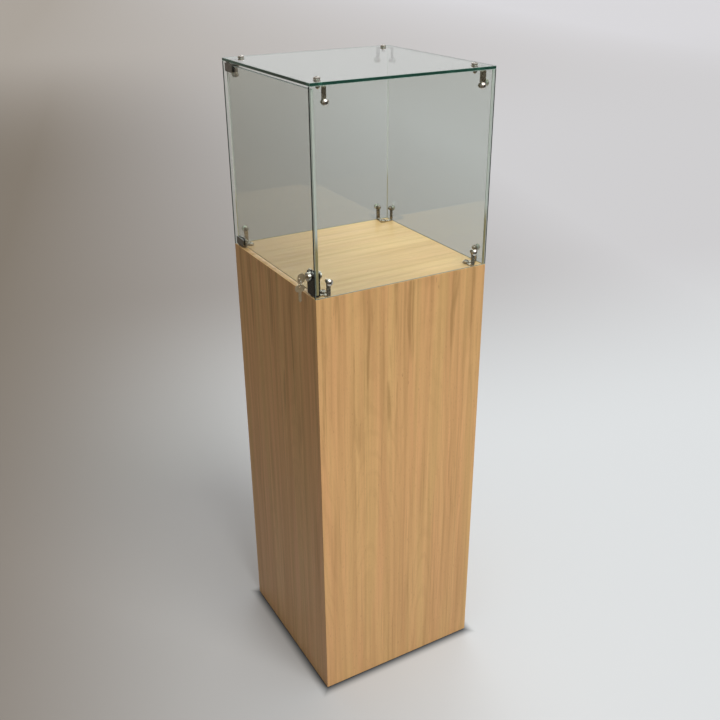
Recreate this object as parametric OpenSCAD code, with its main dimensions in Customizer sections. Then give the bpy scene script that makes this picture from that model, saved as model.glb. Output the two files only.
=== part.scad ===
// Pedestal display case: a square veneered plinth that carries a glass case.
// The glass is held by drilled corner brackets, and the left side is a glass
// door that turns on two pivots and closes with a small cam lock and its keys.
//
// Frame: +X right, +Y back, +Z up. The origin is on the floor, under the middle
// of the plinth. The door is on the -X side, with its pivots at the back.

/* [Plinth] */
// Width of the plinth, left to right
plinth_w = 400; // [320:5:600]
// Depth of the plinth, front to back
plinth_d = 400; // [320:5:600]
// Height of the display deck above the floor
plinth_h = 1000; // [600:10:1200]
// Thickness of the veneered boards
board_t = 18; // [15:1:25]
// Height of the shadow gap between the side boards and the floor
shadow_gap = 5; // [2:1:12]
// Thickness of the recessed base board
base_t = 18; // [15:1:25]
// Side of the square battens glued into the upright corners
batten_w = 30; // [20:1:40]
// Side of the square cleats glued under the deck
cleat_w = 20; // [12:1:30]

/* [Glass case] */
// Height of the glass case above the deck, with its top pane
glass_h = 400; // [250:5:600]
// Thickness of every pane
glass_t = 6; // [5:0.5:8]
// Ground bevel along every edge of a pane
arris = 0.5; // [0.2:0.1:1]
// Gap beside the edges of the right pane
pane_gap = 1; // [0.5:0.5:2]
// Diameter of the holes drilled for the fixings
glass_hole_d = 8; // [7:0.5:10]

/* [Corner brackets] */
// Distance of every fixing from the outer faces of the glass
fixing_inset = 30; // [27:1:40]
// Height of a lower pane fixing above the deck
fixing_rise = 31; // [24:1:45]
// Distance of an upper pane fixing below the top pane
fixing_drop = 29; // [22:1:45]
// Width of the bracket strip
strip_w = 9; // [8:0.5:11]
// Thickness of the bracket strip
strip_t = 2; // [1.5:0.25:3]
// Inside radius of a bend in the strip
bend_r = 2; // [1:0.5:3]
// Diameter of the round pad of a bracket
pad_d = 15; // [13:0.5:18]

/* [Fixings] */
// Diameter of the machine screws
screw_d = 5; // [4:0.5:6]
// Diameter of a domed screw head
head_d = 13.5; // [11:0.5:16]
// Height of a domed screw head
head_h = 5; // [4:0.5:7]
// Height of the straight rim under the dome
head_rim = 2; // [0.5:0.25:3]
// Width of the cross recess
recess_w = 1.6; // [1:0.2:2]
// Length of the cross recess
recess_l = 7.5; // [5:0.5:8]
// Depth of the cross recess
recess_depth = 1.8; // [1:0.2:2]
// Diameter of the flange of the plastic bush under a head
flange_d = 12; // [10:0.5:13]
// Thickness of that flange
flange_t = 1; // [0.5:0.25:1.5]
// Width of a cap nut across its flats
nut_af = 9; // [8:0.5:11]
// Height of the hexagon of a cap nut
nut_h = 4; // [3.5:0.5:5]
// Diameter of the wood screws
wood_screw_d = 4.5; // [4:0.5:5]
// Length of the wood screws that hold the deck brackets
wood_screw_l = 18; // [14:1:30]
// Length of the countersunk screws in the base board
base_screw_l = 45; // [35:1:60]
// Diameter of a countersunk head
sunk_head_d = 9; // [8:0.5:10]

/* [Door pivots] */
// Setback of the door's outer face from the side of the plinth
door_setback = 5; // [4:0.5:8]
// Gap at the front and back edges of the door
door_gap = 3; // [2:0.5:4]
// Distance of the pivot from the inside of the back pane
pivot_back = 12; // [12:0.5:16]
// Diameter of the pivot pin
pin_d = 5; // [4:0.5:6]
// Diameter of the washer under the door clamp
washer_d = 10; // [9:0.5:12]
// Thickness of that washer
washer_t = 1; // [0.5:0.25:1.5]
// Diameter of the bracket ear around the pin
ear_d = 13; // [11:0.5:15]
// Length of a door clamp along the glass
clamp_l = 36; // [28:1:50]
// Height of a door clamp
clamp_h = 17; // [14:1:24]
// Thickness of the web of a clamp, under the edge of the glass
web_t = 3; // [2.5:0.25:4]
// Thickness of the legs of a clamp
leg_t = 2.5; // [2:0.25:3]
// Thickness of the liner between a leg and the glass
liner_t = 0.8; // [0.5:0.1:1]
// Corner radius of the legs
leg_r = 2.5; // [1:0.5:4]
// Diameter of the clamp's set screws
set_d = 4; // [3:0.5:5]
// Distance between the two set screws
set_pitch = 18; // [12:1:24]

/* [Lock] */
// Height of the lock's axis above the deck
lock_rise = 41; // [36:1:60]
// Width of the lock body along the glass
lock_w = 28; // [24:1:36]
// Distance from the front edge of the door to the lock body
lock_edge = 1; // [0.5:0.5:4]
// Diameter of the round front of the barrel
boss_d = 18; // [16:0.5:20]
// Length of the round front of the barrel
boss_l = 7.5; // [5:0.5:10]
// Diameter of the threaded part of the barrel
barrel_d = 14; // [13:0.5:15]
// Width of the barrel nut across its flats
barrel_nut_af = 19; // [17:0.5:20]
// Thickness of the barrel nut
barrel_nut_t = 3; // [2:0.25:3.5]
// Diameter of the plug that the key turns
plug_d = 9; // [8.5:0.25:10]
// Diameter of the head of the plug
plug_head_d = 11; // [10.5:0.25:12]
// Thickness of the head of the plug
plug_head_t = 1.5; // [1:0.25:2]
// Thickness of the cam
cam_t = 2; // [1.5:0.25:2.5]
// Width of the cam's arm
cam_w = 9; // [7:0.5:11]
// Set of the cam's tip towards the glass
cam_crank = 2; // [1.5:0.25:3]
// Height of the locked cam's tip above the deck
cam_clear = 7; // [6:0.5:9]
// Width of the keeper
keeper_w = 14; // [10:1:18]
// Height of the keeper above the deck
keeper_h = 20; // [16:1:24]

/* [Keys] */
// Thickness of a key
key_t = 1.8; // [1.5:0.1:2.2]
// Length of the blade in the plug
blade_l = 17; // [14:0.5:18]
// Height of the blade
blade_h = 6; // [5:0.25:6.5]
// Length of the neck between the blade and the bow
neck_l = 4; // [3:0.5:6]
// Size of the bow across the key
bow_across = 20; // [18:0.5:24]
// Size of the bow along the key
bow_along = 15; // [13:0.5:17]
// Diameter of the hole in the bow
bow_hole_d = 4; // [3.5:0.25:5]
// Radius of the key ring, to the middle of its wire
ring_r = 7; // [6.5:0.25:9]
// Diameter of the key ring's wire
wire_d = 1.3; // [1:0.1:1.6]

/* [Hidden] */

$fn = 48;

// Overcut of every cutting solid
over = 1;
// Radial clearance of a screw in a drilled or tapped hole
screw_play = 0.1;
// Radial clearance of a pin or plug that turns in its bore
run_play = 0.05;
// Radial clearance of a strip's hole round its screw
hole_play = 0.3;
// Clearance between the door's lock and the keeper, and round the barrel's nut
keeper_play = 0.5;
// Clearance between the keeper and the cam that stands behind it
cam_play = 1.25;
// Clearance between the key and its slot, each side
key_play = 0.1;
// Clearance between the ring's wire and the edge of a key's hole
ring_play = 0.3;

half_w = plinth_w / 2;
half_d = plinth_d / 2;
deck_z = plinth_h;
top_z = deck_z + glass_h;
roof_z = top_z - glass_t;
wall_h = roof_z - deck_z;

// Fixings
fix_x = half_w - fixing_inset;
fix_y = half_d - fixing_inset;
arm_reach = fixing_inset - glass_t;
nut_wall = 1;
screw_tip_r = 0.5;
sunk_recess_rim = 0.4;
sunk_recess_l = sunk_head_d - 2 * (recess_depth + sunk_recess_rim);
bush_d = glass_hole_d - 2 * screw_play;
shank_l = flange_t + glass_t + strip_t + nut_h - nut_wall;

// Door
glass_half = glass_t / 2;
door_x = -half_w + door_setback + glass_half;
door_end = half_d - glass_t - door_gap;
door_lift = strip_t + washer_t + web_t;
door_h = wall_h - 2 * door_lift;
clamp_half = glass_half + liner_t + leg_t;
pivot_y = half_d - glass_t - pivot_back;
pin_l = strip_t + washer_t + web_t - 2 * screw_play;

// Lock: all X values run inwards from the middle of the door's glass
lock_y = -door_end + lock_edge + lock_w / 2;
lock_z = deck_z + lock_rise;
lock_h = lock_rise - strip_t - washer_t + boss_d / 2;
boss_x = door_x - clamp_half - boss_l;
keeper_x = door_x + clamp_half + keeper_play;
cam_tip_x = keeper_x + strip_t + cam_play;
cam_hub_x = cam_tip_x + cam_crank;
barrel_end_x = cam_hub_x - keeper_play;
cam_reach = lock_rise - cam_clear;
cam_hub_rim = 2.5;
cam_hub_d = cam_w + 2 * cam_hub_rim;
cam_square = 5.5;
cam_bend = barrel_nut_af / 2 / cos(30) + 2 * keeper_play;
cam_screw_d = 3;
cam_screw_depth = 5;
cam_screw_head_d = 8;
cam_screw_head_h = 2;
cam_screw_slot_w = 1.5;
cam_screw_slot_depth = 1;

// Keys
bow_rim = 1.7;
bow_x = -neck_l - bow_along / 2;
bow_hole_x = -neck_l - bow_along + bow_rim + bow_hole_d / 2;
hang_play = bow_hole_d / 2 - wire_d / 2 - ring_play;
key_x = boss_x - key_play;
ring_x = key_x + bow_hole_x;
ring_top_z = lock_z - hang_play;
ring_low_z = ring_top_z - 2 * ring_r;

//
// Plinth
//

// Runs a profile drawn in (y, z) along X, centred
module run_x(length) {
    translate([-length / 2, 0, 0]) rotate([90, 0, 90]) linear_extrude(length) children();
}

// Side board with its outer face on y = 0, mitred at both ends and along its top
module side_board(span) {
    difference() {
        translate([0, 0, shadow_gap]) linear_extrude(plinth_h - shadow_gap)
            polygon([
                [-span / 2, 0], [span / 2, 0],
                [span / 2 - board_t, board_t], [-span / 2 + board_t, board_t]
            ]);
        run_x(span + 2 * over) polygon([
            [-over, plinth_h + over],
            [board_t + over, plinth_h - board_t - over],
            [board_t + over, plinth_h + over]
        ]);
    }
}

module plinth_front() {
    color("burlywood") translate([0, -half_d, 0]) side_board(plinth_w);
}

module plinth_back() {
    color("burlywood") rotate([0, 0, 180]) translate([0, -half_d, 0]) side_board(plinth_w);
}

module plinth_left() {
    color("peru") rotate([0, 0, -90]) translate([0, -half_w, 0]) side_board(plinth_d);
}

module plinth_right() {
    color("peru") rotate([0, 0, 90]) translate([0, -half_w, 0]) side_board(plinth_d);
}

// Cuts one mitre from the underside of the deck, along the edge on y = 0
module deck_mitre(span) {
    run_x(span + 2 * over) polygon([
        [-over, plinth_h + over],
        [board_t + over, plinth_h - board_t - over],
        [-over, plinth_h - board_t - over]
    ]);
}

module display_deck() {
    color("wheat") difference() {
        translate([-half_w, -half_d, plinth_h - board_t]) cube([plinth_w, plinth_d, board_t]);
        for (turn = [0, 180]) rotate([0, 0, turn]) {
            translate([0, -half_d, 0]) deck_mitre(plinth_w);
            rotate([0, 0, 90]) translate([0, -half_w, 0]) deck_mitre(plinth_d);
        }
        at_corners(deck_z + strip_t) wood_screw(screw_play);
    }
}

module base_board() {
    color("tan") difference() {
        translate([-half_w + board_t, -half_d + board_t, 0])
            cube([plinth_w - 2 * board_t, plinth_d - 2 * board_t, base_t]);
        at_battens(0) sunk_screw(screw_play);
    }
}

// Puts its children at the middle of each corner batten
module at_battens(z) {
    batten_x = half_w - board_t - batten_w / 2;
    batten_y = half_d - board_t - batten_w / 2;
    for (sx = [-1, 1], sy = [-1, 1]) translate([sx * batten_x, sy * batten_y, z]) children();
}

module corner_battens() {
    batten_l = plinth_h - board_t - base_t;
    color("navajowhite") difference() {
        at_battens(base_t + batten_l / 2) cube([batten_w, batten_w, batten_l], center = true);
        at_battens(0) sunk_screw(screw_play);
        at_corners(deck_z + strip_t) wood_screw(screw_play);
    }
}

module deck_cleats() {
    cleat_z = plinth_h - board_t - cleat_w / 2;
    inner_w = plinth_w - 2 * board_t;
    inner_d = plinth_d - 2 * board_t;
    color("navajowhite") for (s = [-1, 1]) {
        translate([0, s * (inner_d - cleat_w) / 2, cleat_z])
            cube([inner_w - 2 * batten_w, cleat_w, cleat_w], center = true);
        translate([s * (inner_w - cleat_w) / 2, 0, cleat_z])
            cube([cleat_w, inner_d - 2 * batten_w, cleat_w], center = true);
    }
}

// Countersunk screw that points up, with its head flush with z = 0
module sunk_screw(play = 0) {
    shank_r = wood_screw_d / 2 + play;
    head_r = sunk_head_d / 2 + play;
    rotate_extrude() polygon([
        [0, -play], [head_r, -play], [shank_r, head_r - shank_r],
        [shank_r, base_screw_l - wood_screw_d], [screw_tip_r, base_screw_l + play],
        [0, base_screw_l + play]
    ]);
}

module base_screws() {
    color("gray") at_battens(0) difference() {
        sunk_screw();
        translate([0, 0, -over]) cross_recess(sunk_recess_l, recess_depth + over);
    }
}

//
// Fixings
//

module cross_recess(length, depth) {
    for (turn = [0, 90]) rotate([0, 0, turn])
        translate([-length / 2, -recess_w / 2, 0]) cube([length, recess_w, depth]);
}

// Domed head that stands on z = 0
module domed_head(d, h, rim) {
    cap_h = h - rim;
    ball_r = (d * d / 4 + cap_h * cap_h) / (2 * cap_h);
    difference() {
        intersection() {
            cylinder(d = d, h = h + over);
            translate([0, 0, h - ball_r]) sphere(r = ball_r, $fn = 96);
            translate([0, 0, h / 2]) cube([2 * d, 2 * d, h], center = true);
        }
        translate([0, 0, h - recess_depth]) cross_recess(recess_l, recess_depth + over);
    }
}

// Shank of a wood screw that points down, from under its head at z = 0
module wood_screw(play = 0) {
    shank_r = wood_screw_d / 2 + play;
    rotate_extrude() polygon([
        [0, -wood_screw_l - play], [screw_tip_r, -wood_screw_l - play],
        [shank_r, wood_screw_d - wood_screw_l], [shank_r, 0], [0, 0]
    ]);
}

// Machine screw of a pane: the outer face of the glass is z = 0, and the head is outside
module pane_screw() {
    translate([0, 0, flange_t]) {
        domed_head(head_d, head_h, head_rim);
        translate([0, 0, -shank_l]) cylinder(d = screw_d, h = shank_l);
    }
}

// Plastic bush: a sleeve in the drilled hole, with a flange under the head
module pane_bush() {
    difference() {
        union() {
            cylinder(d = flange_d, h = flange_t);
            translate([0, 0, -glass_t]) cylinder(d = bush_d, h = glass_t);
        }
        translate([0, 0, -glass_t - over])
            cylinder(d = screw_d + 2 * screw_play, h = glass_t + flange_t + 2 * over);
    }
}

// Cap nut that closes the end of a pane screw, against the bracket strip
module pane_nut() {
    cap_d = nut_af - 1;
    translate([0, 0, -glass_t - strip_t]) difference() {
        union() {
            translate([0, 0, -nut_h]) cylinder(d = nut_af / cos(30), h = nut_h, $fn = 6);
            translate([0, 0, -nut_h]) intersection() {
                sphere(d = cap_d);
                translate([0, 0, -cap_d / 2]) cube(cap_d, center = true);
            }
        }
        translate([0, 0, -nut_h + nut_wall - screw_play])
            cylinder(d = screw_d + 2 * screw_play, h = nut_h + over);
    }
}

module pane_hole() {
    translate([0, 0, -glass_t - over]) cylinder(d = glass_hole_d, h = glass_t + 2 * over);
}

// Puts its children at the four corner fixings, at height z
module at_corners(z) {
    for (sx = [-1, 1], sy = [-1, 1]) translate([sx * fix_x, sy * fix_y, z]) children();
}

// Each of these turns +Z outwards at the four fixings of one pane
module at_front() {
    for (s = [-1, 1], z = [deck_z + fixing_rise, roof_z - fixing_drop])
        translate([s * fix_x, -half_d, z]) rotate([90, 0, 0]) children();
}

module at_back() {
    for (s = [-1, 1], z = [deck_z + fixing_rise, roof_z - fixing_drop])
        translate([s * fix_x, half_d, z]) rotate([-90, 0, 0]) children();
}

module at_right() {
    for (s = [-1, 1], z = [deck_z + fixing_rise, roof_z - fixing_drop])
        translate([half_w, s * fix_y, z]) rotate([0, 90, 0]) children();
}

module deck_screws() {
    color("gainsboro") at_corners(deck_z + strip_t) {
        domed_head(head_d, head_h, head_rim);
        wood_screw();
    }
}

module top_screws() { color("gainsboro") at_corners(top_z) pane_screw(); }
module top_bushes() { color("white") at_corners(top_z) pane_bush(); }
module top_nuts() { color("silver") at_corners(top_z) pane_nut(); }
module front_screws() { color("gainsboro") at_front() pane_screw(); }
module front_bushes() { color("white") at_front() pane_bush(); }
module front_nuts() { color("silver") at_front() pane_nut(); }
module back_screws() { color("gainsboro") at_back() pane_screw(); }
module back_bushes() { color("white") at_back() pane_bush(); }
module back_nuts() { color("silver") at_back() pane_nut(); }
module right_screws() { color("gainsboro") at_right() pane_screw(); }
module right_bushes() { color("white") at_right() pane_bush(); }
module right_nuts() { color("silver") at_right() pane_nut(); }

//
// Glass
//

// Rectangle with its corners cut back by the arris
module arris_outline(w, h) {
    polygon([
        [arris, 0], [w - arris, 0], [w, arris], [w, h - arris],
        [w - arris, h], [arris, h], [0, h - arris], [0, arris]
    ]);
}

// Pane with one corner at the origin and every edge ground to a bevel
module pane(size) {
    intersection() {
        linear_extrude(size.z) arris_outline(size.x, size.y);
        translate([0, size.y, 0]) rotate([90, 0, 0])
            linear_extrude(size.y) arris_outline(size.x, size.z);
        rotate([90, 0, 90]) linear_extrude(size.x) arris_outline(size.y, size.z);
    }
}

module glass_front() {
    color("lightcyan", 0.4) difference() {
        translate([-half_w, -half_d, deck_z]) pane([plinth_w, glass_t, wall_h]);
        at_front() pane_hole();
    }
}

module glass_back() {
    color("lightcyan", 0.4) difference() {
        translate([-half_w, half_d - glass_t, deck_z]) pane([plinth_w, glass_t, wall_h]);
        at_back() pane_hole();
    }
}

module glass_right() {
    side_l = plinth_d - 2 * (glass_t + pane_gap);
    color("lightcyan", 0.4) difference() {
        translate([half_w - glass_t, -side_l / 2, deck_z]) pane([glass_t, side_l, wall_h]);
        at_right() pane_hole();
    }
}

module glass_top() {
    color("lightcyan", 0.4) difference() {
        translate([-half_w, -half_d, roof_z]) pane([plinth_w, plinth_d, glass_t]);
        at_corners(top_z) pane_hole();
    }
}

//
// Corner brackets, drawn as they lie on the deck: the pad's centre is at the origin
//

// Flat strip along +X with a quarter bend, up to where an upright tab begins
module bent_strip(reach, width) {
    bend_x = reach - strip_t - bend_r;
    translate([0, -width / 2, 0]) cube([bend_x, width, strip_t]);
    translate([bend_x, width / 2, strip_t + bend_r]) rotate([90, 0, 0]) rotate([0, 0, -90])
        rotate_extrude(angle = 90) translate([bend_r, 0]) square([strip_t, width]);
}

// Arm that stands its tab against the inside of a pane, with its hole at height z
module pane_arm(z) {
    tab_z = strip_t + bend_r;
    difference() {
        union() {
            bent_strip(arm_reach, strip_w);
            translate([arm_reach - strip_t, -strip_w / 2, tab_z])
                cube([strip_t, strip_w, z - tab_z]);
            translate([arm_reach - strip_t, 0, z]) rotate([0, 90, 0])
                cylinder(d = strip_w, h = strip_t);
        }
        translate([arm_reach - strip_t - over, 0, z]) rotate([0, 90, 0])
            cylinder(d = screw_d + 2 * hole_play, h = strip_t + 2 * over);
    }
}

// Pad with the arms that the angles name, and a hole for its screw
module bracket(arms, arm_z, hole_d) {
    difference() {
        union() {
            cylinder(d = pad_d, h = strip_t);
            for (turn = arms) rotate([0, 0, turn]) pane_arm(arm_z);
            children();
        }
        translate([0, 0, -over]) cylinder(d = hole_d + 2 * hole_play, h = strip_t + 2 * over);
    }
}

// Ear that runs from the pad to the door's pivot pin
module pivot_ear() {
    dx = door_x + fix_x;
    dy = pivot_y - fix_y;
    difference() {
        union() {
            rotate([0, 0, atan2(dy, dx)]) translate([0, -strip_w / 2, 0])
                cube([norm([dx, dy]), strip_w, strip_t]);
            translate([dx, dy, 0]) cylinder(d = ear_d, h = strip_t);
        }
        translate([dx, dy, -over]) cylinder(d = pin_d, h = strip_t + 2 * over);
    }
}

// Upturned strip that the locked cam stands behind
module keeper() {
    tab_z = strip_t + bend_r;
    reach = -fix_x - keeper_x;
    translate([0, lock_y + fix_y, 0]) rotate([0, 0, 180]) {
        bent_strip(reach, keeper_w);
        translate([reach - strip_t, -keeper_w / 2, tab_z])
            cube([strip_t, keeper_w, keeper_h - tab_z]);
    }
}

// Puts a bracket under the top pane, upside down
module under_top() {
    translate([0, 0, roof_z]) mirror([0, 0, 1]) children();
}

module deck_bracket_front_left() {
    color("darkgray") translate([-fix_x, -fix_y, deck_z])
        bracket([-90], fixing_rise, wood_screw_d) keeper();
}

module deck_bracket_front_right() {
    color("darkgray") translate([fix_x, -fix_y, deck_z]) bracket([-90, 0], fixing_rise, wood_screw_d);
}

module deck_bracket_back_right() {
    color("darkgray") translate([fix_x, fix_y, deck_z]) bracket([0, 90], fixing_rise, wood_screw_d);
}

module deck_bracket_back_left() {
    color("darkgray") translate([-fix_x, fix_y, deck_z])
        bracket([90], fixing_rise, wood_screw_d) pivot_ear();
}

module top_bracket_front_left() {
    color("darkgray") under_top() translate([-fix_x, -fix_y, 0]) bracket([-90], fixing_drop, screw_d);
}

module top_bracket_front_right() {
    color("darkgray") under_top() translate([fix_x, -fix_y, 0]) bracket([-90, 0], fixing_drop, screw_d);
}

module top_bracket_back_right() {
    color("darkgray") under_top() translate([fix_x, fix_y, 0]) bracket([0, 90], fixing_drop, screw_d);
}

module top_bracket_back_left() {
    color("darkgray") under_top() translate([-fix_x, fix_y, 0])
        bracket([90], fixing_drop, screw_d) pivot_ear();
}

//
// Door and its pivots
//

// Puts its children on both pivots: on the deck, and upside down under the top pane
module at_pivots() {
    translate([door_x, pivot_y, deck_z]) children();
    under_top() translate([door_x, pivot_y, 0]) children();
}

module pivot_pins() {
    color("silver") at_pivots() cylinder(d = pin_d, h = pin_l);
}

module pivot_washers() {
    color("white") at_pivots() translate([0, 0, strip_t]) difference() {
        cylinder(d = washer_d, h = washer_t);
        translate([0, 0, -over]) cylinder(d = pin_d + 2 * screw_play, h = washer_t + 2 * over);
    }
}

module glass_door() {
    color("lightcyan", 0.4) difference() {
        translate([door_x - glass_half, -door_end, deck_z + door_lift])
            pane([glass_t, 2 * door_end, door_h]);
        translate([door_x - glass_half - over, lock_y, lock_z]) rotate([0, 90, 0])
            cylinder(d = barrel_d + 4 * hole_play, h = glass_t + 2 * over);
    }
}

// Rectangle from the origin with its two upper corners rounded
module leg_outline(length, height) {
    square([length, height - leg_r]);
    translate([leg_r, 0]) square([length - 2 * leg_r, height]);
    for (x = [leg_r, length - leg_r]) translate([x, height - leg_r]) circle(r = leg_r);
}

// Channel along Y that grips an edge of the glass: its web is down, on z = 0
module glass_channel(length, height) {
    inside = glass_half + liner_t;
    difference() {
        translate([-clamp_half, 0, 0]) rotate([90, 0, 90])
            linear_extrude(2 * clamp_half) leg_outline(length, height);
        translate([-inside, -over, web_t]) cube([2 * inside, length + 2 * over, height]);
    }
}

// The two liners in such a channel
module channel_liners(length, height) {
    liner_h = height - web_t - leg_r;
    for (s = [-1, 1]) translate([s * (glass_half + liner_t / 2), length / 2, web_t + liner_h / 2])
        cube([liner_t, length - 2 * leg_r, liner_h], center = true);
}

// Puts its children at the two set screws, which point from the inner leg to the glass
module at_set_screws() {
    set_z = washer_t + strip_t + web_t + (clamp_h - web_t) / 2;
    mid_y = door_end - clamp_l / 2 - pivot_y;
    for (s = [-1, 1]) translate([clamp_half, mid_y + s * set_pitch / 2, set_z])
        rotate([0, 90, 0]) children();
}

// Clamp for a corner of the door, drawn over its pivot
module hinge_clamp() {
    lift = strip_t + washer_t;
    difference() {
        translate([0, door_end - clamp_l - pivot_y, lift]) glass_channel(clamp_l, clamp_h);
        translate([0, 0, lift - over])
            cylinder(d = pin_d + 2 * run_play, h = web_t + 2 * over);
        at_set_screws() translate([0, 0, -leg_t - liner_t / 2])
            cylinder(d = set_d + 2 * run_play, h = leg_t + liner_t);
    }
}

module hinge_clamp_bottom() {
    color("dimgray") translate([door_x, pivot_y, deck_z]) hinge_clamp();
}

module hinge_clamp_top() {
    color("dimgray") under_top() translate([door_x, pivot_y, 0]) hinge_clamp();
}

module clamp_liners() {
    color("black") at_pivots()
        translate([0, door_end - clamp_l - pivot_y, strip_t + washer_t])
            channel_liners(clamp_l, clamp_h);
}

module clamp_set_screws() {
    stand_out = 1;
    socket_af = set_d / 2;
    color("black") at_pivots() at_set_screws() difference() {
        translate([0, 0, -leg_t]) cylinder(d = set_d, h = leg_t + stand_out);
        translate([0, 0, stand_out - set_d / 2])
            cylinder(d = socket_af / cos(30), h = set_d / 2 + over, $fn = 6);
    }
}

//
// Lock
//

// Turns +Z towards the inside of the case, on the lock's axis at the given X
module on_lock(x) {
    translate([x, lock_y, lock_z]) rotate([0, 90, 0]) children();
}

module lock_body() {
    color("dimgray") difference() {
        translate([door_x, lock_y - lock_w / 2, deck_z + strip_t + washer_t])
            glass_channel(lock_w, lock_h);
        on_lock(door_x - clamp_half - over)
            cylinder(d = barrel_d + 2 * screw_play, h = 2 * clamp_half + 2 * over);
    }
}

module lock_liners() {
    color("black") difference() {
        translate([door_x, lock_y - lock_w / 2, deck_z + strip_t + washer_t])
            channel_liners(lock_w, lock_h);
        on_lock(door_x - clamp_half - over)
            cylinder(d = barrel_d + 4 * hole_play, h = 2 * clamp_half + 2 * over);
    }
}

module lock_barrel() {
    rim = 0.8;
    color("silver") on_lock(boss_x) difference() {
        union() {
            cylinder(d1 = boss_d - 2 * rim, d2 = boss_d, h = rim);
            translate([0, 0, rim]) cylinder(d = boss_d, h = boss_l - rim);
            cylinder(d = barrel_d, h = barrel_end_x - boss_x);
        }
        translate([0, 0, -over]) {
            cylinder(d = plug_d + 2 * run_play, h = barrel_end_x - boss_x + 2 * over);
            cylinder(d = plug_head_d + 2 * run_play, h = plug_head_t + run_play + over);
        }
    }
}

module barrel_nut() {
    color("silver") on_lock(door_x + clamp_half) difference() {
        cylinder(d = barrel_nut_af / cos(30), h = barrel_nut_t, $fn = 6);
        translate([0, 0, -over])
            cylinder(d = barrel_d + 2 * screw_play, h = barrel_nut_t + 2 * over);
    }
}

module lock_plug() {
    slot_l = blade_l + 2 * key_play;
    slot_t = key_t + 2 * key_play;
    slot_h = blade_h + 2 * key_play;
    color("gainsboro") on_lock(boss_x) difference() {
        union() {
            cylinder(d = plug_head_d, h = plug_head_t);
            cylinder(d = plug_d, h = cam_hub_x - boss_x);
            translate([0, 0, cam_hub_x - boss_x + cam_t / 2 - screw_play])
                cube([cam_square, cam_square, cam_t], center = true);
        }
        translate([-slot_h / 2, -slot_t / 2, -over]) cube([slot_h, slot_t, slot_l + over]);
        translate([0, 0, cam_hub_x - boss_x + cam_t - cam_screw_depth - 2 * screw_play])
            cylinder(d = cam_screw_d + 2 * screw_play, h = cam_screw_depth + cam_t);
    }
}

// Cranked cam. Unlocked, its arm lies level and points to the back
module lock_cam() {
    bend_l = cam_bend + cam_crank;
    end_l = cam_reach - cam_w / 2;
    color("silver") translate([cam_hub_x, lock_y, lock_z]) difference() {
        union() {
            rotate([0, 90, 0]) cylinder(d = cam_hub_d, h = cam_t);
            translate([0, 0, -cam_w / 2]) linear_extrude(cam_w) polygon([
                [0, 0], [0, cam_bend], [-cam_crank, bend_l], [-cam_crank, end_l],
                [cam_t - cam_crank, end_l], [cam_t - cam_crank, bend_l], [cam_t, cam_bend], [cam_t, 0]
            ]);
            translate([-cam_crank, end_l, 0]) rotate([0, 90, 0]) cylinder(d = cam_w, h = cam_t);
        }
        cube([4 * cam_t, cam_square + screw_play, cam_square + screw_play], center = true);
    }
}

module cam_screw() {
    color("gainsboro") on_lock(cam_hub_x + cam_t) {
        translate([0, 0, cam_screw_head_h / 2]) difference() {
            intersection() {
                cylinder(d = cam_screw_head_d, h = cam_screw_head_h, center = true);
                translate([0, 0, -cam_screw_head_d / 2]) sphere(d = 1.5 * cam_screw_head_d);
            }
            translate([0, 0, cam_screw_head_h / 2])
                cube([cam_screw_head_d + over, cam_screw_slot_w, 2 * cam_screw_slot_depth], center = true);
        }
        translate([0, 0, -cam_screw_depth]) cylinder(d = cam_screw_d, h = cam_screw_depth);
    }
}

//
// Keys, drawn with the blade along +X and its shoulder on x = 0
//

module key_outline() {
    notches = 4;
    notch_w = blade_l / (notches + 1);
    notch_depth = [1.2, 0.6, 1.5, 0.9];
    bow_r = bow_along / 2;
    side = bow_across / 2 - bow_r;
    difference() {
        union() {
            translate([-neck_l - bow_r, -blade_h / 2]) square([neck_l + bow_r, blade_h]);
            polygon([
                [0, -blade_h / 2], [blade_l - blade_h / 2, -blade_h / 2], [blade_l, 0],
                [blade_l - blade_h / 2, blade_h / 2], [0, blade_h / 2]
            ]);
            translate([bow_x - bow_r, -side]) square([bow_along, 2 * side]);
            for (s = [-1, 1]) translate([bow_x, s * side]) circle(r = bow_r);
        }
        for (i = [0:notches - 1]) translate([(i + 0.6) * notch_w, blade_h / 2]) polygon([
            [-notch_w / 2, over], [-notch_w / 4, -notch_depth[i]],
            [notch_w / 4, -notch_depth[i]], [notch_w / 2, over]
        ]);
        translate([bow_hole_x, 0]) circle(d = bow_hole_d);
    }
}

module key() {
    rotate([90, 0, 0]) translate([0, 0, -key_t / 2]) linear_extrude(key_t) key_outline();
}

module door_key() {
    color("darkkhaki") translate([key_x, lock_y, lock_z]) key();
}

module key_ring() {
    color("silver") translate([ring_x, lock_y, ring_top_z - ring_r]) rotate([0, 90, 0])
        rotate_extrude() translate([ring_r, 0]) circle(d = wire_d);
}

// Hangs on the ring, with its blade down
module spare_key() {
    color("darkkhaki") translate([ring_x, lock_y, ring_low_z - hang_play])
        rotate([0, 90, 0]) translate([-bow_hole_x, 0, 0]) key();
}

plinth_front();
plinth_back();
plinth_left();
plinth_right();
display_deck();
base_board();
corner_battens();
deck_cleats();
base_screws();
glass_front();
glass_back();
glass_right();
glass_top();
deck_bracket_front_left();
deck_bracket_front_right();
deck_bracket_back_right();
deck_bracket_back_left();
top_bracket_front_left();
top_bracket_front_right();
top_bracket_back_right();
top_bracket_back_left();
deck_screws();
top_screws();
top_bushes();
top_nuts();
front_screws();
front_bushes();
front_nuts();
back_screws();
back_bushes();
back_nuts();
right_screws();
right_bushes();
right_nuts();
pivot_pins();
pivot_washers();
glass_door();
hinge_clamp_bottom();
hinge_clamp_top();
clamp_liners();
clamp_set_screws();
lock_body();
lock_liners();
lock_barrel();
barrel_nut();
lock_plug();
lock_cam();
cam_screw();
door_key();
key_ring();
spare_key();
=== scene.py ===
import math

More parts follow.
